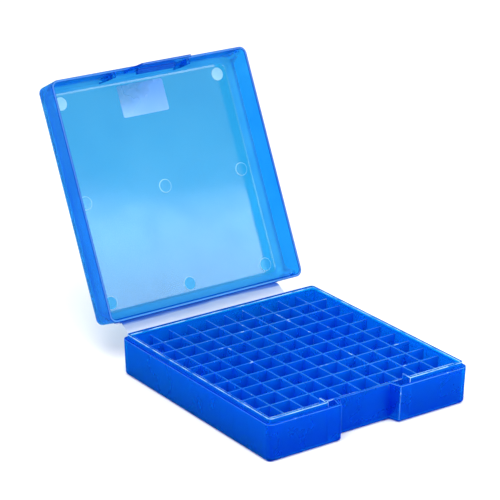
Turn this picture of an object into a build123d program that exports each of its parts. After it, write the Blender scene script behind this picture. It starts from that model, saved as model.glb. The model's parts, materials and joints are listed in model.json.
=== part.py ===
"""Hinged storage box for one hundred small tubes, in millimetres.

+Z is up, +X runs to the right along the front, -Y is the front with the latch recess.
The origin is the centre of the tray's underside. The lid is stored open, leaning back.
"""
import math
import os

from build123d import *

# ---- overall sizes -------------------------------------------------------
box_width = 142.0            # outside width of tray and lid rim
box_depth = 149.4            # outside depth, without the hinge strip
tray_height = 23.0           # underside to the ledge the lid rests on
lid_height = 20.2            # lid rim to the outside of the lid panel
tray_draft = 0.9             # the tray is this much smaller all round at the bottom
lid_draft = 0.7              # the lid is this much smaller all round at the panel

# ---- tray ----------------------------------------------------------------
tray_wall = 1.95             # also the width of the ledge
floor_thickness = 1.8
tray_corner_r = 3.0
tray_foot_r = 2.4            # rounding between underside and walls

# ---- latch recess in the tray's front ------------------------------------
recess_mouth = 42.0          # width at the front face
recess_back = 37.8           # width at the recess's back wall
recess_depth = 7.5
recess_wall = 1.5
catch_height = 2.9           # bead along the top of the recess's back wall
catch_proud = 1.0
catch_drop = 0.3             # the bead's top edge is this far under the ledge
catch_width = 35.0

# ---- cell frame: the moulded wall round the cells, with the raised lip ---
seat_clear = 0.1             # frame to tray, all round
lip_height = 2.8             # the lip stands this far over the ledge
lip_thick = 1.65
lip_gap = 58.0               # the lip is left out for this width at the front
return_thick = 1.2           # short walls at both ends of that gap
front_wall_thick = 1.0       # wall in front of the first row of cells
side_wall_back = 2.9         # thickness of the frame's back wall at the lip

# ---- cells ---------------------------------------------------------------
cells = 10                   # ten rows of ten
pitch = 13.45                # cell to cell
divider_thick = 1.0
grid_drop = 0.4              # divider tops are this far under the ledge
end_clear = 0.15             # divider ends to the frame
lap_clear = 0.1              # each side of a divider in the other's slot

# ---- lid -----------------------------------------------------------------
lid_wall = 1.6
lid_panel = 1.6
lid_corner_r = 4.0
lid_edge_r = 2.4             # rounding between panel and walls, outside
lid_inner_r = 6.0            # rounding between panel and walls, inside
lid_inner_corner_r = 6.6     # corners of the rounded part of the hollow
inner_flare = 5.1            # the rounded part widens this much per side up to the rim
inner_step = 0.95            # the rounded part starts this far inside the straight walls
lid_seat = 0.1               # rim over the ledge when closed
pad_r = 4.25                 # round pads on the inside of the panel
pad_proud = 0.35
pad_pitch_x = 57.6
pad_pitch_y = 62.3
rib_centre = 27.2            # stiffening ribs either side of the latch tab
rib_thick = 2.8
rib_proud = 3.4
rib_start = 0.6

# ---- latch tab -----------------------------------------------------------
tab_width = 35.2
tab_thick = 1.6
tab_inset = 1.5              # tab's outer face behind the rim's front face
tab_drop = 19.6              # how far the tab hangs under the rim
tab_root = 4.5               # height of the block that joins it to the front wall
hook_height = 3.2
hook_proud = 2.9
hook_width = 28.0
hook_under = 0.5             # hook top under the catch bead when closed

# ---- hinge strip ---------------------------------------------------------
strip_width = 116.0
strip_thick = 0.8
fold_reach = 11.3            # each fold line to the parting line when closed
fold_gap = 0.46              # plate ends to the fold line
leaf_height = 6.4
hinge_seat = 0.3             # flat seats stand this far behind the rim's back face
seat_margin = 1.0            # seat is this much wider than the strip, per side
open_web = 61.7              # strip's turn about the tray fold, closed to stored
open_lid = 53.95             # lid's turn about the lid fold, closed to stored

# ---- writing label -------------------------------------------------------
label_width = 33.4
label_depth = 20.2
label_thick = 0.15
label_from_front = 8.2

half_w = box_width / 2
half_d = box_depth / 2
strip_mid = half_d + hinge_seat + strip_thick / 2
tray_fold_z = tray_height - fold_reach
lid_fold_z = tray_height + fold_reach
rim_z = tray_height + lid_seat
recess_back_y = -half_d + recess_depth
cell_x = cells * pitch / 2
first_wall_y = recess_back_y + recess_wall + seat_clear
cell_front_y = first_wall_y + front_wall_thick
cell_back_y = cell_front_y - divider_thick / 2 + cells * pitch
grid_top = tray_height - grid_drop
divider_height = grid_top - floor_thickness


def block(x0, x1, y0, y1, z0, z1):
    """A box from its low and high corners."""
    size = Box(x1 - x0, y1 - y0, z1 - z0)
    return Pos((x0 + x1) / 2, (y0 + y1) / 2, (z0 + z1) / 2) * size


def flared(width, depth, radius, height, growth):
    """A rounded block standing on z = 0 that grows by `growth` per side over its height."""
    sketch = RectangleRounded(width, depth, radius)
    angle = math.degrees(math.atan2(growth, height))
    return extrude(sketch, amount=height, taper=-angle)


def recess_prism(extra, z0, z1):
    """The latch recess's outline, grown by `extra` on its sides and back."""
    front = -half_d - 3.0
    slope = (recess_mouth - recess_back) / 2 / recess_depth
    back = recess_back_y + extra
    half_back = recess_back / 2 + extra
    half_front = half_back + slope * (back - front)
    outline = Polyline(
        (-half_front, front), (half_front, front), (half_back, back), (-half_back, back), close=True
    )
    return Pos(0, 0, z0) * extrude(make_face(outline), amount=z1 - z0)


def base_tray():
    """The outer tray with its ledge, latch recess, catch bead and hinge seat."""
    outer = flared(
        box_width - 2 * tray_draft, box_depth - 2 * tray_draft, tray_corner_r, tray_height, tray_draft
    )
    outer -= recess_prism(0, -1, tray_height + 1)
    outer = fillet(outer.edges().group_by(Axis.Z)[0], tray_foot_r)
    inside = flared(
        box_width - 2 * tray_draft - 2 * tray_wall,
        box_depth - 2 * tray_draft - 2 * tray_wall,
        tray_corner_r - 1.5,
        tray_height,
        tray_draft,
    )
    inside &= block(-half_w, half_w, -half_d, half_d, floor_thickness, tray_height)
    inside -= recess_prism(recess_wall, 0, tray_height)
    inside += block(-half_w + 9, half_w - 9, -half_d + 12, half_d - 9, tray_height - 1, tray_height + 1)
    tray = outer - inside
    bead_top = tray_height - catch_drop
    bead = block(
        -catch_width / 2,
        catch_width / 2,
        recess_back_y - catch_proud,
        recess_back_y + recess_wall / 2,
        bead_top - catch_height,
        bead_top,
    )
    bead = fillet(bead.edges().filter_by(Axis.X).group_by(Axis.Y)[0], 0.45 * catch_proud)
    seat = block(
        -strip_width / 2 - seat_margin,
        strip_width / 2 + seat_margin,
        half_d - tray_draft - tray_wall / 2,
        half_d + hinge_seat,
        tray_fold_z - fold_gap - leaf_height - 0.6,
        tray_fold_z - fold_gap,
    )
    return tray + bead + seat


def cell_frame():
    """The wall round the cells. Its lip stands over the tray's ledge inside the lid rim."""
    bottom_w = box_width - 2 * tray_draft - 2 * tray_wall - 2 * seat_clear
    bottom_d = box_depth - 2 * tray_draft - 2 * tray_wall - 2 * seat_clear
    growth = tray_draft * (tray_height + lip_height) / tray_height
    outer = flared(bottom_w, bottom_d, tray_corner_r - 1.6, tray_height + lip_height, growth)
    outer &= block(-half_w, half_w, -half_d, half_d, floor_thickness, tray_height + lip_height)
    lip_front_y = -half_d + tray_wall + seat_clear + lip_thick
    well = block(-cell_x, cell_x, cell_front_y, half_d - tray_wall - side_wall_back, 0, 99)
    frame = outer - well
    pocket_inner = lip_gap / 2 + return_thick
    for side in (-1, 1):
        low = min(side * pocket_inner, side * cell_x)
        high = max(side * pocket_inner, side * cell_x)
        frame -= block(low, high, lip_front_y, first_wall_y, 0, 99)
    frame -= block(-lip_gap / 2, lip_gap / 2, -half_d, first_wall_y, 0, 99)
    frame -= block(-cell_x, cell_x, first_wall_y - 0.01, cell_front_y + 0.01, grid_top, 99)
    return frame


def divider_pair_slots(length_axis, upper):
    """Slots cut in one divider where the crossing ones pass."""
    slots = []
    mid = floor_thickness + divider_height / 2
    half = divider_thick / 2 + lap_clear
    for i in range(1, cells):
        if length_axis == "y":
            along = cell_front_y - divider_thick / 2 + i * pitch
            slot = block(-half_w, half_w, along - half, along + half, mid - lap_clear / 2, 99)
        else:
            along = -cell_x + i * pitch
            slot = block(along - half, along + half, -half_d, half_d, 0, mid + lap_clear / 2)
        slots.append(slot)
    return slots


def long_divider(x):
    """A strip that runs front to back, slotted from the top."""
    back = half_d - tray_wall - side_wall_back - end_clear
    strip = block(
        x - divider_thick / 2, x + divider_thick / 2, cell_front_y + end_clear, back, floor_thickness, grid_top
    )
    for slot in divider_pair_slots("y", True):
        strip -= slot
    return strip


def cross_divider(y):
    """A strip that runs left to right, slotted from the bottom."""
    strip = block(
        -cell_x + end_clear,
        cell_x - end_clear,
        y - divider_thick / 2,
        y + divider_thick / 2,
        floor_thickness,
        grid_top,
    )
    for slot in divider_pair_slots("x", False):
        strip -= slot
    return strip


def lid_pan():
    """The lid's hollow near the panel, widely rounded, which widens clear of the straight walls."""
    inset = lid_draft + lid_wall + inner_step
    pan = flared(
        box_width - 2 * inset, box_depth - 2 * inset, lid_inner_corner_r, lid_height, inner_flare
    )
    pan = fillet(pan.edges().group_by(Axis.Z)[0], lid_inner_r)
    return Pos(0, 0, lid_panel) * pan


def lid_closed():
    """The lid as it sits closed on the tray, with ribs, pads, tab and hinge seat."""
    shell = flared(
        box_width - 2 * lid_draft, box_depth - 2 * lid_draft, lid_corner_r, lid_height, lid_draft
    )
    shell = fillet(shell.edges().group_by(Axis.Z)[0], lid_edge_r)
    hollow = flared(
        box_width - 2 * lid_draft - 2 * lid_wall,
        box_depth - 2 * lid_draft - 2 * lid_wall,
        lid_corner_r - lid_wall,
        lid_height,
        lid_draft,
    )
    hollow &= block(-half_w, half_w, -half_d, half_d, lid_panel, lid_height)
    hollow &= lid_pan()
    shell -= hollow
    inner_front = -half_d + lid_wall
    panel_in = lid_panel
    for side in (-1, 1):
        shell += block(
            side * rib_centre - rib_thick / 2,
            side * rib_centre + rib_thick / 2,
            inner_front - 0.6,
            inner_front + rib_proud,
            panel_in - 0.3,
            lid_height - rib_start,
        )
    for i in (-1, 0, 1):
        for j in (-1, 0, 1):
            if (i, j) == (0, -1):
                continue  # the writing label takes this place
            pad = Cylinder(pad_r, pad_proud + 0.2)
            shell += Pos(i * pad_pitch_x, j * pad_pitch_y, panel_in + pad_proud / 2 - 0.1) * pad
    tab_out = -half_d + tab_inset
    root = block(
        -tab_width / 2, tab_width / 2, -half_d + 0.5, tab_out + tab_thick, lid_height - tab_root, lid_height
    )
    tab = block(
        -tab_width / 2, tab_width / 2, tab_out, tab_out + tab_thick, lid_height - 1, lid_height + tab_drop
    )
    tip = tab.edges().group_by(Axis.Z)[-1].filter_by(Axis.X)
    tab = fillet(tip, tab_thick * 0.3)
    hook_low = lid_height + catch_drop + catch_height + hook_under - lid_seat
    hook_y = tab_out + tab_thick
    profile = Polyline(
        (hook_y - 0.3, hook_low),
        (hook_y + hook_proud, hook_low),
        (hook_y + hook_proud, hook_low + hook_height * 0.3),
        (hook_y - 0.3, hook_low + hook_height),
        close=True,
    )
    face = Plane.YZ * make_face(profile)
    hook = Pos(-hook_width / 2, 0, 0) * extrude(face, amount=hook_width, dir=(1, 0, 0))
    seat = block(
        -strip_width / 2 - seat_margin,
        strip_width / 2 + seat_margin,
        half_d - lid_draft - lid_wall / 2,
        half_d + hinge_seat,
        lid_height - (fold_reach - lid_seat) - fold_gap - leaf_height - 0.6,
        lid_height - (fold_reach - lid_seat) - fold_gap,
    )
    shell = shell + root + tab + hook + seat
    turned = shell.mirror(Plane.XY)
    return Pos(0, 0, rim_z + lid_height) * turned


def strip_plate(z0, z1):
    """One flat stretch of the hinge strip, upright behind the closed box."""
    y0 = half_d + hinge_seat
    return block(-strip_width / 2, strip_width / 2, y0, y0 + strip_thick, z0, z1)


def label_closed():
    """The writing label on the inside of the closed lid's panel."""
    top = rim_z + lid_height - lid_panel
    y0 = -half_d + label_from_front
    return block(-label_width / 2, label_width / 2, y0, y0 + label_depth, top - label_thick, top)


def with_web(shape):
    """Turn a closed shape with the hinge web to the stored open pose."""
    return shape.rotate(Axis((0, strip_mid, tray_fold_z), (1, 0, 0)), -open_web)


def with_lid(shape):
    """Turn a closed shape with the lid to the stored open pose."""
    turned = shape.rotate(Axis((0, strip_mid, lid_fold_z), (1, 0, 0)), -open_lid)
    return with_web(turned)


nodes = {"base_tray": base_tray(), "cell_frame": cell_frame()}
for n in range(1, cells):
    nodes[f"divider_long_{n}"] = long_divider(-cell_x + n * pitch)
    nodes[f"divider_cross_{n}"] = cross_divider(cell_front_y - divider_thick / 2 + n * pitch)
nodes["hinge_leaf_base"] = strip_plate(tray_fold_z - fold_gap - leaf_height, tray_fold_z - fold_gap)
nodes["hinge_web"] = with_web(strip_plate(tray_fold_z + fold_gap, lid_fold_z - fold_gap))
nodes["hinge_leaf_lid"] = with_lid(strip_plate(lid_fold_z + fold_gap, lid_fold_z + fold_gap + leaf_height))
nodes["lid"] = with_lid(lid_closed())
nodes["writing_label"] = with_lid(label_closed())

os.makedirs("parts", exist_ok=True)
for name, shape in nodes.items():
    export_step(shape, f"parts/{name}.step")
    box = shape.bounding_box()
    print(name, len(shape.solids()), round(shape.volume), box.min, box.max)
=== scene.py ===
"""Looks of the hinged tube box: blue plastic, a clear bending hinge strip, a writing label."""
import json
import math

import bmesh
import bpy
from mathutils import Matrix, Vector


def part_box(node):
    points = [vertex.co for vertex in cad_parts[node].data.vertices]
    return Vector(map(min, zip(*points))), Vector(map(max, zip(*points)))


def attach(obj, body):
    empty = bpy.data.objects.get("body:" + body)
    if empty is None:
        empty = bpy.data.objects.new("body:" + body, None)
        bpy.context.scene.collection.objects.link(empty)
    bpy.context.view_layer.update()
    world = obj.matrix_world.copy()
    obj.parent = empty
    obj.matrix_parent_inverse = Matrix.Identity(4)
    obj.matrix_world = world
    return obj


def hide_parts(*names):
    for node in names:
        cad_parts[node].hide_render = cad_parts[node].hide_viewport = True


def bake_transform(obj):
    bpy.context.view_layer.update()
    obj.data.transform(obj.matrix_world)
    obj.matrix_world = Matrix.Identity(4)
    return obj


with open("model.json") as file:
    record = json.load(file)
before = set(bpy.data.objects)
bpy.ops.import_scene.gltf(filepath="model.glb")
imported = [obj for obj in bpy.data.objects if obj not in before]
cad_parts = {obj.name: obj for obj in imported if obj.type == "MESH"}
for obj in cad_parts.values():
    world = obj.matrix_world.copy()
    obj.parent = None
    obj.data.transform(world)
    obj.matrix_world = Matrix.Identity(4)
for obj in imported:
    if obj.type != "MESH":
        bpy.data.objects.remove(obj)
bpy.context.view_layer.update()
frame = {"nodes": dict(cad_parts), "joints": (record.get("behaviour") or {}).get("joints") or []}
nodes = frame["nodes"]
scene = bpy.context.scene
MM = 0.001

# plastics, as linear colours: two tints that light takes on, or two for the milky share
DEEP_TINTS = ((0.02, 0.68, 1.0), (0.03, 0.76, 1.0))
# tray and cell milky colours run from the underside's to the top's: painted shade, darker towards
# the bottom
DEEP_MILK_AND_SHADE = ((0.0, 0.01, 0.80), (0.0, 0.11, 0.98))
# navy milky colour for the tray's foot: painted shade where it meets the table
FOOT_SHADE_MILK = ((0.0, 0.01, 0.50), (0.0, 0.02, 0.62))
CELL_MILK_AND_SHADE = ((0.0, 0.13, 1.0), (0.0, 0.26, 1.0))
LID_TINTS = ((0.018, 0.32, 0.66), (0.028, 0.35, 0.68))
# the lid's walls, lighter and greener than its panel: painted light on the same plastic
WALL_LIT_TINTS = ((0.09, 0.52, 0.92), (0.14, 0.59, 0.94))
LID_MILK = ((0.03, 0.34, 1.0), (0.05, 0.38, 1.0))
# pale rounded edges of tray, frame and dividers: painted highlight lines
EDGE_HIGHLIGHT_TINTS = ((0.10, 0.62, 1.0), (0.20, 0.72, 1.0))
EDGE_HIGHLIGHT_MILK = ((0.05, 0.32, 1.0), (0.14, 0.48, 1.0))
# pale glints on rounded edges: painted highlights
GLINT_PAINTED_HIGHLIGHT = (0.40, 0.70, 0.96)
# navy rounded edges of the lid: painted shade lines
LID_EDGE_SHADE_MILK = ((0.0, 0.05, 0.44), (0.0, 0.10, 0.60))
LID_EDGE_SHADE_TINTS = ((0.02, 0.26, 0.76), (0.04, 0.34, 0.82))
# the strip's blue next to the lid: painted reflection of the lid
STRIP_REFLECTED_BLUE = ((0.10, 0.36, 0.86), (0.45, 0.62, 0.95))
# the strip's milky white: painted reflection of the white around it
STRIP_REFLECTED_WHITE = ((0.86, 0.92, 0.98), (0.95, 0.98, 1.0))
# the lid's pads: pale fill as painted reflection, pale rings as painted highlight, teal as painted
# light
PAD_REFLECTION_PALE = ((0.42, 0.78, 0.98), (0.66, 0.90, 1.0))
RING_HIGHLIGHT_PALE = ((0.34, 0.74, 1.0), (0.56, 0.88, 1.0))
TEAL_LIT_TINTS = ((0.20, 0.60, 0.84), (0.26, 0.64, 0.86))
# pale band on the lid's inner fillet: painted highlight
FILLET_HIGHLIGHT_PALE = ((0.05, 0.46, 0.98), (0.14, 0.60, 1.0))
# pale band on the lid's rim face: painted light
RIM_LIT_PALE = ((0.14, 0.44, 0.96), (0.24, 0.54, 1.0))
CLEAR = ((0.94, 0.96, 1.0), (0.98, 0.98, 1.0))
# the label's pale colour: partly its frosting, partly painted reflection
LABEL_PALE_AND_REFLECTION = ((0.22, 0.58, 0.96), (0.42, 0.72, 1.0))

# edge rounding; an edge shorter than SHORTEST_EDGE times its rounding stays sharp
TRAY_ROUND = 0.35 * MM
FRAME_ROUND = 0.3 * MM
DIVIDER_ROUND = 0.22 * MM
LID_ROUND = 0.30 * MM
SHARP_ANGLE = math.radians(38)
EDGE_ANGLE = math.radians(32)
LID_EDGE_ANGLE = math.radians(50)
FLAT_ANGLE = math.radians(0.4)
# the foot's painted shade covers faces below this height that slope down
FOOT_HEIGHT = 2.4 * MM
FOOT_SLOPE = 0.3
WELD = 0.02 * MM
SHORTEST_EDGE = 0.3

# hinge strip, thinner at its folds and down its sides
STRIP_THICK = 0.8 * MM
FOLD_THICK = 0.34 * MM
FOLD_HALF = 1.1 * MM
FOLD_TO_RIM = 11.2 * MM
FOLD_TO_EDGE = 0.7 * MM
# where the painted reflection of the lid's blue on the strip starts, and how far it reaches
LID_REFLECTION_FROM = 1.0 * MM
LID_REFLECTION_REACH = 3.0 * MM
STRIP_SIDE = 0.25 * MM
SIDE_THIN = 0.55
STRIP_COVER = 0.98
STRIP_COLUMNS = 40
STRIP_STEPS = 8

# lid details, measured in the lid; slopes are cosines to the panel's own direction
PANEL_DEPTH = 18.6 * MM
PANEL_REACH = 0.6 * MM
PANEL_TOUCH = 0.02 * MM
PAD_HEIGHT = 0.5 * MM
RIM_DEPTH = 0.1 * MM
FILLET_FROM = 8 * MM
FILLET_SLOPES = (0.2, 0.97)
FLAT = 0.98
PAD_ACROSS = 57.6 * MM
PAD_ROWS = (12.4 * MM, 74.7 * MM, 137.0 * MM)
PAD_R = 4.3 * MM
LABEL_THICK = 0.14 * MM
LABEL_BACK = 0.01 * MM
LABEL_CORNER = 1.2 * MM
LABEL_LIP = 0.45
LABEL_STEPS = 24
# where the painted reflection on the label fades out, towards its upper left corner
FADE_SPREAD = 0.75
FADE_START = 0.42

# what the plastics have in common; noise scales are in waves per metre
IOR = 1.49
BUMP_STRENGTH = 0.35
GRAIN_HEIGHT = 0.004 * MM
LID_SWELL = 1.0 * MM
GRAIN = 700
LID_GRAIN = 300
LABEL_GRAIN = 1500
FLOW_NOISE = 16
SWELL_NOISE = 24
UNEVEN_NOISE = 30
ROUGH_NOISE = 45
FADE_NOISE = 90
GLINT_NOISE = 130
GLINT_SHARE = 0.8
STREAK_STRETCH = (1, 6, 6)
# heights over which that painted shade lightens upwards
TRAY_SHADE_HEIGHT = 21 * MM
CELL_SHADE_HEIGHT = 23 * MM

# studio
FLOOR_HALF = 6.0
FLOOR_WHITE = 0.97
WORLD_STRENGTH = 1.03


# ---- node materials ------------------------------------------------------
def new_material(name):
    mat = bpy.data.materials.new(name)
    mat.use_nodes = True
    tree = mat.node_tree
    tree.nodes.clear()
    return mat, tree


def node(tree, kind, **settings):
    made = tree.nodes.new(kind)
    for key, value in settings.items():
        setattr(made, key, value)
    return made


def noise(tree, scale, detail=2.0, stretch=(1, 1, 1)):
    """A noise value over the object's own coordinates."""
    coord = node(tree, "ShaderNodeTexCoord")
    place = node(tree, "ShaderNodeMapping")
    place.inputs["Scale"].default_value = stretch
    tree.links.new(coord.outputs["Object"], place.inputs["Vector"])
    made = node(tree, "ShaderNodeTexNoise")
    made.inputs["Scale"].default_value = scale
    made.inputs["Detail"].default_value = detail
    tree.links.new(place.outputs["Vector"], made.inputs["Vector"])
    return made.outputs["Fac"]


def remap(tree, value, low, high, to_low=0.0, to_high=1.0):
    """The value moved from one range to another, and held inside it."""
    made = node(tree, "ShaderNodeMapRange")
    made.inputs["From Min"].default_value = low
    made.inputs["From Max"].default_value = high
    made.inputs["To Min"].default_value = to_low
    made.inputs["To Max"].default_value = to_high
    tree.links.new(value, made.inputs["Value"])
    return made.outputs["Result"]


def add(tree, a, b, clamp):
    made = node(tree, "ShaderNodeMath", operation="ADD", use_clamp=clamp)
    tree.links.new(a, made.inputs[0])
    tree.links.new(b, made.inputs[1])
    return made.outputs["Value"]


def blend_colour(tree, factor, a, b):
    """Colour a at factor 0, b at factor 1."""
    made = node(tree, "ShaderNodeMix", data_type="RGBA")
    tree.links.new(factor, made.inputs["Factor"])
    made.inputs["A"].default_value = (*a, 1)
    made.inputs["B"].default_value = (*b, 1)
    return made.outputs["Result"]


def mix_shaders(tree, factor, a, b):
    """Shader a at factor 0, b at factor 1. The factor is a number or a socket."""
    made = node(tree, "ShaderNodeMixShader")
    if isinstance(factor, float):
        made.inputs["Fac"].default_value = factor
    else:
        tree.links.new(factor, made.inputs["Fac"])
    tree.links.new(a, made.inputs[1])
    tree.links.new(b, made.inputs[2])
    return made.outputs["Shader"]


def moulded_bump(tree, grain, swell):
    """Fine moulded grain, laid over slow swells where swell is above 0."""
    layers = [(grain, 2.0, GRAIN_HEIGHT)]
    if swell:
        layers.insert(0, (SWELL_NOISE, 1.5, swell))
    last = None
    for scale, detail, height in layers:
        bump = node(tree, "ShaderNodeBump")
        bump.inputs["Strength"].default_value = BUMP_STRENGTH
        bump.inputs["Distance"].default_value = height
        tree.links.new(noise(tree, scale, detail), bump.inputs["Height"])
        if last:
            tree.links.new(last, bump.inputs["Normal"])
        last = bump.outputs["Normal"]
    return last


def painted_shade_climb(tree, height):
    """0 at the underside and 1 at the given height, made a little uneven; used as painted shade,
    darker towards the bottom.
    """
    coord = node(tree, "ShaderNodeTexCoord")
    axes = node(tree, "ShaderNodeSeparateXYZ")
    tree.links.new(coord.outputs["Object"], axes.inputs["Vector"])
    uneven = remap(tree, noise(tree, UNEVEN_NOISE), 0.3, 0.7, -0.15, 0.15)
    return add(tree, remap(tree, axes.outputs["Z"], 1 * MM, height), uneven, clamp=True)


def plastic_shader(
    tree, tints, milk, share, rough, grain=GRAIN, back=0.5, height=None, swell=0.0,
    white_gloss=False,
):
    """Tinted plastic: light passes through in the tints, and a share is soft milky colour.

    back is how much of the milky share lets light through instead of throwing it back. The milky
    colour climbs from the first to the second up to height, as painted shade darker towards the
    bottom, or wanders where none is given.
    white_gloss keeps the surface's shine white, where glass would tint it too.
    """
    link = tree.links.new
    flow = remap(tree, noise(tree, FLOW_NOISE, 3.0), 0.35, 0.65)
    rise = painted_shade_climb(tree, height) if height else flow
    rough_flow = remap(tree, noise(tree, ROUGH_NOISE, 4.0), 0.3, 0.7, rough * 0.75, rough * 1.3)
    normal = moulded_bump(tree, grain, swell)
    if white_gloss:
        body = node(tree, "ShaderNodeBsdfPrincipled")
        body.inputs["Transmission Weight"].default_value = 1.0
    else:
        body = node(tree, "ShaderNodeBsdfGlass")
    link(blend_colour(tree, flow, *tints), body.inputs["Base Color" if white_gloss else "Color"])
    link(rough_flow, body.inputs["Roughness"])
    link(normal, body.inputs["Normal"])
    body.inputs["IOR"].default_value = IOR
    soft = node(tree, "ShaderNodeBsdfTranslucent")
    dull = node(tree, "ShaderNodeBsdfDiffuse")
    milky = blend_colour(tree, rise, *milk)
    link(milky, soft.inputs["Color"])
    link(milky, dull.inputs["Color"])
    link(normal, dull.inputs["Normal"])
    both = mix_shaders(tree, back, dull.outputs["BSDF"], soft.outputs["BSDF"])
    return mix_shaders(tree, share, body.outputs["BSDF"], both)


def clear_plastic(name, tints, milk, share, rough, glints=None, **more):
    """A plastic material. glints is the range of noise over which pale glints, painted highlights,
    set in.
    """
    mat, tree = new_material(name)
    out = node(tree, "ShaderNodeOutputMaterial")
    shader = plastic_shader(tree, tints, milk, share, rough, **more)
    if glints:
        shine = node(tree, "ShaderNodeBsdfDiffuse")
        shine.inputs["Color"].default_value = (*GLINT_PAINTED_HIGHLIGHT, 1)
        spots = remap(tree, noise(tree, GLINT_NOISE), *glints, 0.0, GLINT_SHARE)
        shader = mix_shaders(tree, spots, shader, shine.outputs["BSDF"])
    tree.links.new(shader, out.inputs["Surface"])
    return mat


def painted_mask(tree, attribute, uneven, low, high):
    """0 to 1 over a range of a mesh attribute, with an uneven line between."""
    painted = node(tree, "ShaderNodeAttribute", attribute_name=attribute)
    return remap(tree, add(tree, painted.outputs["Fac"], uneven, clamp=False), low, high)


def label_film():
    """Pale frosted film, its paleness partly a painted reflection that fades to clear film at the
    upper left corner.
    """
    mat, tree = new_material("label_pale_and_reflection")
    out = node(tree, "ShaderNodeOutputMaterial")
    pale = plastic_shader(tree, LABEL_PALE_AND_REFLECTION, LABEL_PALE_AND_REFLECTION, 0.80, 0.5, grain=LABEL_GRAIN, back=0.25)
    bare = plastic_shader(tree, CLEAR, LABEL_PALE_AND_REFLECTION, 0.25, 0.3, grain=LABEL_GRAIN)
    ragged = remap(tree, noise(tree, FADE_NOISE), 0.3, 0.7, -0.12, 0.12)
    mask = painted_mask(tree, "reflection_fade", ragged, 0.30, 0.75)
    tree.links.new(mix_shaders(tree, mask, pale, bare), out.inputs["Surface"])
    return mat


def strip_film():
    """Clear hinge strip whose milky white share is a painted reflection, with a painted reflection
    of the lid's blue next to the lid.
    """
    mat, tree = new_material("strip_clear")
    out = node(tree, "ShaderNodeOutputMaterial")
    # milky white share: painted reflection; blue share near the lid: painted reflection of the lid
    clear = plastic_shader(tree, CLEAR, STRIP_REFLECTED_WHITE, 0.72, 0.10, back=0.2)
    blue = plastic_shader(tree, STRIP_REFLECTED_BLUE, STRIP_REFLECTED_BLUE, 0.45, 0.16, back=0.4)
    streaks = noise(tree, UNEVEN_NOISE, stretch=STREAK_STRETCH)
    mask = painted_mask(tree, "lid_reflection", remap(tree, streaks, 0.35, 0.65, -0.2, 0.2), 0.4, 0.9)
    tree.links.new(mix_shaders(tree, mask, clear, blue), out.inputs["Surface"])
    return mat


# each has its tints, its milky colours, the milky share and the roughness
# tray, cells and frame: milky colour darker towards the bottom, as painted shade
tray_mat = clear_plastic("tray_blue", DEEP_TINTS, DEEP_MILK_AND_SHADE, 0.30, 0.25, height=TRAY_SHADE_HEIGHT)
# the foot: a navy line of painted shade along the table
foot_shade_mat = clear_plastic("tray_foot_painted_shade", DEEP_TINTS, FOOT_SHADE_MILK, 0.65, 0.25)
cell_mat = clear_plastic(
    "cell_blue", DEEP_TINTS, CELL_MILK_AND_SHADE, 0.42, 0.25, back=0.30, height=CELL_SHADE_HEIGHT
)
frame_mat = clear_plastic(
    "frame_blue", DEEP_TINTS, CELL_MILK_AND_SHADE, 0.26, 0.25, back=0.40, height=CELL_SHADE_HEIGHT
)
# rounded edges of tray, dividers and frame: pale painted highlight lines, with painted glints
edge_highlight_mat = clear_plastic("edge_blue", EDGE_HIGHLIGHT_TINTS, EDGE_HIGHLIGHT_MILK, 0.55, 0.20, glints=(0.66, 0.72))
frame_edge_highlight_mat = clear_plastic("frame_edge_painted_highlight", EDGE_HIGHLIGHT_TINTS, EDGE_HIGHLIGHT_MILK, 0.60, 0.20, glints=(0.36, 0.56))
lid_mat = clear_plastic(
    "lid_blue", LID_TINTS, LID_MILK, 0.05, 0.12, grain=LID_GRAIN, swell=LID_SWELL, white_gloss=True
)
# the lid's walls: a lighter copy of the lid plastic, painted light
lid_wall_lit_mat = clear_plastic("lid_wall_painted_light", WALL_LIT_TINTS, LID_MILK, 0.05, 0.12)
# the lid's rounded edges: navy painted shade lines
lid_edge_shade_mat = clear_plastic("lid_edge_painted_shade", LID_EDGE_SHADE_TINTS, LID_EDGE_SHADE_MILK, 0.65, 0.14)
# pads: the far row's pale fill is painted reflection, the pad sides painted highlight, the row by
# the hinge painted light
pad_reflection_mat = clear_plastic("pad_painted_reflection", CLEAR, PAD_REFLECTION_PALE, 0.60, 0.45, back=0.3)
ring_highlight_mat = clear_plastic("pad_ring_painted_highlight", CLEAR, RING_HIGHLIGHT_PALE, 0.80, 0.20, back=0.3)
teal_lit_mat = clear_plastic("pad_teal_painted_light", TEAL_LIT_TINTS, LID_MILK, 0.10, 0.12)
# inner fillet of the lid: pale painted highlight
fillet_highlight_mat = clear_plastic("lid_fillet_painted_highlight", WALL_LIT_TINTS, FILLET_HIGHLIGHT_PALE, 0.45, 0.20)
# rim face of the lid: pale painted light
rim_lit_mat = clear_plastic("lid_rim_painted_light", WALL_LIT_TINTS, RIM_LIT_PALE, 0.45, 0.20)
strip_mat = strip_film()
label_mat = label_film()
# in the list of a piece with rounded edges, the one at EDGE is theirs: pale painted highlight
# lines on the tray, frame and dividers, navy painted shade lines on the lid
LID_MATERIALS = [
    lid_mat, lid_edge_shade_mat, pad_reflection_mat, lid_wall_lit_mat, ring_highlight_mat, fillet_highlight_mat, rim_lit_mat, teal_lit_mat
]
PANEL, EDGE, PAD_REFLECTION, WALL_LIT, RING_HIGHLIGHT, FILLET_HIGHLIGHT, RIM_LIT, TEAL_LIT = range(len(LID_MATERIALS))
TRAY_MATERIALS = [tray_mat, edge_highlight_mat, foot_shade_mat]
FOOT_SHADE = 2


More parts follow.
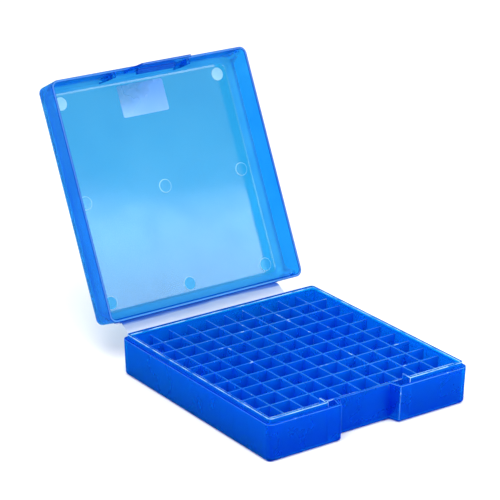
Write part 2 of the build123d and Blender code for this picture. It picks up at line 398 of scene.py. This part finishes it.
# ---- pieces from the frame's own shapes, with rounded edges -----------------
def mesh_piece(name, bm, materials, body):
    """A finished mesh object. It rides on a body, or on none."""
    mesh = bpy.data.meshes.new(name)
    bm.to_mesh(mesh)
    bm.free()
    for mat in materials:
        mesh.materials.append(mat)
    for poly in mesh.polygons:
        poly.use_smooth = True
    mesh.set_sharp_from_angle(angle=SHARP_ANGLE)
    obj = bpy.data.objects.new(name, mesh)
    scene.collection.objects.link(obj)
    if body:
        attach(obj, body)
    return obj


def rounded_copy(
    node_name, piece_name, width, materials, body, sort_faces=None, from_angle=EDGE_ANGLE
):
    """The CAD node's shape with its outer edges rounded off, in the node's place."""
    bm = bmesh.new()
    bm.from_mesh(nodes[node_name].data)
    bmesh.ops.remove_doubles(bm, verts=bm.verts, dist=WELD)
    bmesh.ops.dissolve_limit(
        bm, angle_limit=FLAT_ANGLE, use_dissolve_boundaries=False, verts=bm.verts, edges=bm.edges
    )
    sharp = [
        e for e in bm.edges
        if len(e.link_faces) == 2 and e.is_convex and e.calc_face_angle(0) > from_angle
        and e.calc_length() > SHORTEST_EDGE * width
    ]
    bmesh.ops.bevel(
        bm, geom=sharp, offset=width, segments=2, profile=0.6, affect="EDGES",
        clamp_overlap=False, loop_slide=True, material=EDGE,
    )
    if sort_faces:
        for face in bm.faces:
            face.material_index = sort_faces(face)
    obj = mesh_piece(piece_name, bm, materials, body)
    flatten = obj.modifiers.new("even_normals", "WEIGHTED_NORMAL")
    flatten.keep_sharp = True
    flatten.weight = 80
    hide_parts(node_name)


# ---- the open lid's own directions, from the fold lines -------------------------
joints = {j["name"]: j for j in frame["joints"]}
tray_fold = Vector(joints["tray_fold"]["pos_m"])
lid_fold = Vector(joints["lid_fold"]["pos_m"])
to_closed = [joints[name]["range_deg"][0] for name in ("tray_fold", "lid_fold")]
opening = math.radians(-to_closed[0] - to_closed[1])
along_lid = Vector((0, -math.cos(opening), math.sin(opening)))
into_lid = Vector((0, math.sin(opening), math.cos(opening)))
rim_corner = lid_fold + FOLD_TO_EDGE * along_lid - FOLD_TO_RIM * into_lid


def in_lid(point):
    """A point as (across, distance from the hinge edge, depth from the rim)."""
    from_corner = Vector(point) - rim_corner
    return Vector((point[0], from_corner.dot(along_lid), from_corner.dot(into_lid)))


def from_lid(across, along, depth):
    """The point that in_lid would give these for."""
    return rim_corner + Vector((across, 0, 0)) + along * along_lid + depth * into_lid


def lid_faces(face):
    """Which of LID_MATERIALS a face of the lid has, from where it is and how it lies."""
    place = in_lid(face.calc_center_median())
    slope = face.normal.dot(into_lid)
    raised = PANEL_DEPTH - PAD_HEIGHT < place.z < PANEL_DEPTH - PANEL_TOUCH
    for across in (-PAD_ACROSS, 0, PAD_ACROSS):
        for along in PAD_ROWS:
            if raised and math.hypot(place.x - across, place.y - along) < PAD_R:
                # alike pads, coloured by row and side: painted light, painted reflection and
                # painted highlight
                if abs(slope) < FLAT:
                    return RING_HIGHLIGHT
                return (TEAL_LIT, PANEL, PAD_REFLECTION)[PAD_ROWS.index(along)]
    if face.material_index == EDGE:
        return EDGE
    # the inner fillet deep in the lid takes a pale painted highlight
    if FILLET_SLOPES[0] < -slope < FILLET_SLOPES[1] and place.z > FILLET_FROM:
        return FILLET_HIGHLIGHT
    # the flat rim face takes pale painted light
    if place.z < RIM_DEPTH and abs(slope) > FLAT:
        return RIM_LIT
    # walls take the lighter copy of the lid plastic, painted light
    return PANEL if place.z > PANEL_DEPTH - PANEL_REACH else WALL_LIT


def tray_faces(face):
    """The rounding under the tray's walls takes the foot material: a navy line of painted shade
    where the tray meets the table.
    """
    low = face.calc_center_median().z < FOOT_HEIGHT
    return FOOT_SHADE if low and -FLAT < face.normal.z < -FOOT_SLOPE else face.material_index


# ---- hinge strip: one clear ribbon, drawn as two halves that meet half way -----
def strip_line(points):
    """Points along a half of the strip, rounded at its fold."""
    before, fold, after = points
    start = fold - FOLD_HALF * (fold - before).normalized()
    end = fold + FOLD_HALF * (after - fold).normalized()
    shares = [k / STRIP_STEPS for k in range(STRIP_STEPS + 1)]
    line = [before.lerp(start, t) for t in shares]
    for t in shares[1:-1]:
        line.append(start * (1 - t) ** 2 + 2 * fold * t * (1 - t) + end * t ** 2)
    return line + [end.lerp(after, t) for t in shares]


def strip_half(name, points, replaced, reflects_lid_blue):
    """A half of the strip round one fold line, thin at the fold."""
    before, fold, after = points
    line = strip_line(points)
    bm = bmesh.new()
    near = bm.verts.layers.float.new("lid_reflection")
    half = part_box("hinge_web")[1][0]
    columns = [-half, -half + STRIP_SIDE]
    for k in range(STRIP_COLUMNS + 1):
        columns.append(half * (-STRIP_COVER + 2 * STRIP_COVER * k / STRIP_COLUMNS))
    columns += [half - STRIP_SIDE, half]
    rings = []
    for column, x in enumerate(columns):
        thin_side = SIDE_THIN if column in (0, len(columns) - 1) else 1.0
        top, bottom = [], []
        for k, point in enumerate(line):
            step = (line[min(k + 1, len(line) - 1)] - line[max(k - 1, 0)]).normalized()
            normal = Vector((0, -step.z, step.y))
            gap = (point - fold).length
            dip = math.exp(-((gap / FOLD_HALF) ** 2))
            thick = STRIP_THICK + (FOLD_THICK - STRIP_THICK) * dip
            across = normal * thick * thin_side / 2
            # share of the lid's painted blue reflection at this point
            from_lid_edge = max(0.0, (point - lid_fold).length - LID_REFLECTION_FROM)
            blue = max(0.0, 1 - from_lid_edge / LID_REFLECTION_REACH) if reflects_lid_blue else 0.0
            for side, sign in ((top, 1), (bottom, -1)):
                vert = bm.verts.new(Vector((x, 0, 0)) + point + sign * across)
                vert[near] = blue
                side.append(vert)
        rings.append(top + bottom[::-1])
    count = len(rings[0])
    for left, right in zip(rings, rings[1:]):
        for k in range(count):
            bm.faces.new((left[k], left[(k + 1) % count], right[(k + 1) % count], right[k]))
    for ring in (rings[0], rings[-1]):
        for k in range(count // 2 - 1):
            bm.faces.new((ring[k], ring[k + 1], ring[count - 2 - k], ring[count - 1 - k]))
    bmesh.ops.recalc_face_normals(bm, faces=bm.faces)
    obj = mesh_piece(name, bm, [strip_mat], None)
    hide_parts(*replaced)
    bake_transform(obj)


def hinge_strip():
    """Both halves, from the strip's end on the tray to its end on the lid."""
    middle = (tray_fold + lid_fold) / 2
    leaf_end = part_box("hinge_leaf_base")[0][2]
    low = Vector((0, tray_fold.y, leaf_end))
    far = lid_fold + (tray_fold.z - leaf_end) * into_lid
    strip_half(
        "strip_tray_half", (low, tray_fold, middle),
        ["hinge_leaf_base"], reflects_lid_blue=False,
    )
    strip_half(
        "strip_lid_half", (middle, lid_fold, far),
        ["hinge_web", "hinge_leaf_lid"], reflects_lid_blue=True,
    )


# ---- writing label ----------------------------------------------------------------
def writing_label():
    """A thin film on the panel with small round corners, thinner along its outline."""
    low, high = (in_lid(v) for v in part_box("writing_label"))
    half = high.x
    start, end = sorted((low.y, high.y))
    bm = bmesh.new()
    reflection_fade = bm.verts.layers.float.new("reflection_fade")
    steps = LABEL_STEPS
    rows = []
    for j in range(steps + 1):
        v = j / steps
        row = []
        for i in range(steps + 1):
            u = i / steps
            x = -half + 2 * half * u
            y = start + (end - start) * v
            # squeeze the outline's corners round
            dx = max(0.0, abs(x) - (half - LABEL_CORNER))
            dy = max(0.0, abs(y - (start + end) / 2) - ((end - start) / 2 - LABEL_CORNER))
            reach = math.hypot(dx, dy)
            pull = max(dx, dy) / reach if reach > 0 else 1.0
            x -= math.copysign(dx * (1 - pull), x)
            y -= math.copysign(dy * (1 - pull), y - (start + end) / 2)
            rim = min(i, j, steps - i, steps - j)
            lift = LABEL_THICK * (LABEL_LIP if rim == 0 else 1.0)
            vert = bm.verts.new(from_lid(x, y, PANEL_DEPTH - lift))
            # fade of the painted reflection, growing towards the upper left
            vert[reflection_fade] = max(0.0, FADE_SPREAD * (1 - u) + FADE_SPREAD * v - FADE_START)
            row.append(vert)
        rows.append(row)
    for a, b in zip(rows, rows[1:]):
        for k in range(steps):
            bm.faces.new((a[k], a[k + 1], b[k + 1], b[k]))
    made = bmesh.ops.extrude_face_region(bm, geom=list(bm.faces))
    for vert in (v for v in made["geom"] if isinstance(v, bmesh.types.BMVert)):
        place = in_lid(vert.co)
        vert.co = from_lid(place.x, place.y, PANEL_DEPTH - LABEL_BACK)
    bmesh.ops.recalc_face_normals(bm, faces=bm.faces)
    obj = mesh_piece("label_film", bm, [label_mat], "lid")
    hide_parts("writing_label")


rounded_copy(
    "base_tray", "tray_shell", TRAY_ROUND, TRAY_MATERIALS, "base", tray_faces
)
rounded_copy("cell_frame", "frame_wall", FRAME_ROUND, [frame_mat, frame_edge_highlight_mat], "base")
for name in sorted(nodes):
    if name.startswith("divider_"):
        piece = name.replace("divider", "cell_wall")
        rounded_copy(name, piece, DIVIDER_ROUND, [cell_mat, edge_highlight_mat], "base")
rounded_copy(
    "lid", "lid_shell", LID_ROUND, LID_MATERIALS, "lid", lid_faces, LID_EDGE_ANGLE
)
hinge_strip()
writing_label()


# ---- studio --------------------------------------------------------------
def floor_and_world():
    """A white floor, and an even white light from all round."""
    mesh = bpy.data.meshes.new("floor")
    s = FLOOR_HALF
    mesh.from_pydata([(-s, -s, 0), (s, -s, 0), (s, s, 0), (-s, s, 0)], [], [(0, 1, 2, 3)])
    floor = bpy.data.objects.new("floor", mesh)
    scene.collection.objects.link(floor)
    mat, tree = new_material("floor_white")
    out = node(tree, "ShaderNodeOutputMaterial")
    bsdf = node(tree, "ShaderNodeBsdfDiffuse")
    bsdf.inputs["Color"].default_value = (FLOOR_WHITE, FLOOR_WHITE, FLOOR_WHITE, 1)
    tree.links.new(bsdf.outputs["BSDF"], out.inputs["Surface"])
    mesh.materials.append(mat)
    world = bpy.data.worlds.new("studio")
    scene.world = world
    world.use_nodes = True
    back = world.node_tree.nodes["Background"]
    back.inputs["Color"].default_value = (1, 1, 1, 1)
    back.inputs["Strength"].default_value = WORLD_STRENGTH


def area(name, place, turn, size, power):
    """A rectangular lamp, whose light goes along its own -Z."""
    light = bpy.data.lights.new(name, "AREA")
    light.shape = "RECTANGLE"
    light.size, light.size_y = size
    light.energy = power
    obj = bpy.data.objects.new(name, light)
    scene.collection.objects.link(obj)
    obj.location = place
    obj.rotation_euler = turn


floor_and_world()
key_place = Vector((-0.35, -0.25, 0.95))
key_turn = (Vector((0, 0.03, 0.03)) - key_place).to_track_quat("-Z", "Y").to_euler()
area("key", key_place, key_turn, size=(0.6, 0.6), power=6.0)
# the box in front is what the lid's gloss reflects as its pale cloud
edge_dir = Vector((0.974, 0.093, -0.21)).normalized()
rise_dir = Vector((0, 0.44, 0.9))
rise_dir = (rise_dir - rise_dir.dot(edge_dir) * edge_dir).normalized()
facing = edge_dir.cross(rise_dir)
box_turn = Matrix((edge_dir, rise_dir, facing)).transposed().to_euler()
area("front_box", (0.412, -0.541, 0.265), box_turn, size=(0.5, 0.3), power=2.2)


# ---- camera at the photograph's angle ------------------------------------
azimuth = math.radians(-35.47)
elevation = math.radians(20.71)
roll = math.radians(0.33)
target = Vector((-0.00554, 0.0358, 0.07662))
distance = 1.2961
back = Vector(
    (
        math.sin(azimuth) * math.cos(elevation),
        -math.cos(azimuth) * math.cos(elevation),
        math.sin(elevation),
    )
)
right = Vector((math.cos(azimuth), math.sin(azimuth), 0))
up = back.cross(right)
right2 = math.cos(roll) * right + math.sin(roll) * up
up2 = -math.sin(roll) * right + math.cos(roll) * up
camera_data = bpy.data.cameras.new("camera")
camera = bpy.data.objects.new("camera", camera_data)
scene.collection.objects.link(camera)
turn = Matrix((right2, up2, back)).transposed().to_4x4()
camera.matrix_world = Matrix.Translation(target + back * distance) @ turn
camera_data.lens = 159.07
camera_data.sensor_width = 36.0
camera_data.clip_start = 0.05
scene.camera = camera

scene.view_settings.view_transform = "Standard"
# light crosses many clear walls, so it needs many bounces to stay bright
scene.cycles.transparent_max_bounces = 32
scene.cycles.max_bounces = 96
scene.cycles.transmission_bounces = 96
scene.cycles.glossy_bounces = 96
scene.cycles.diffuse_bounces = 64
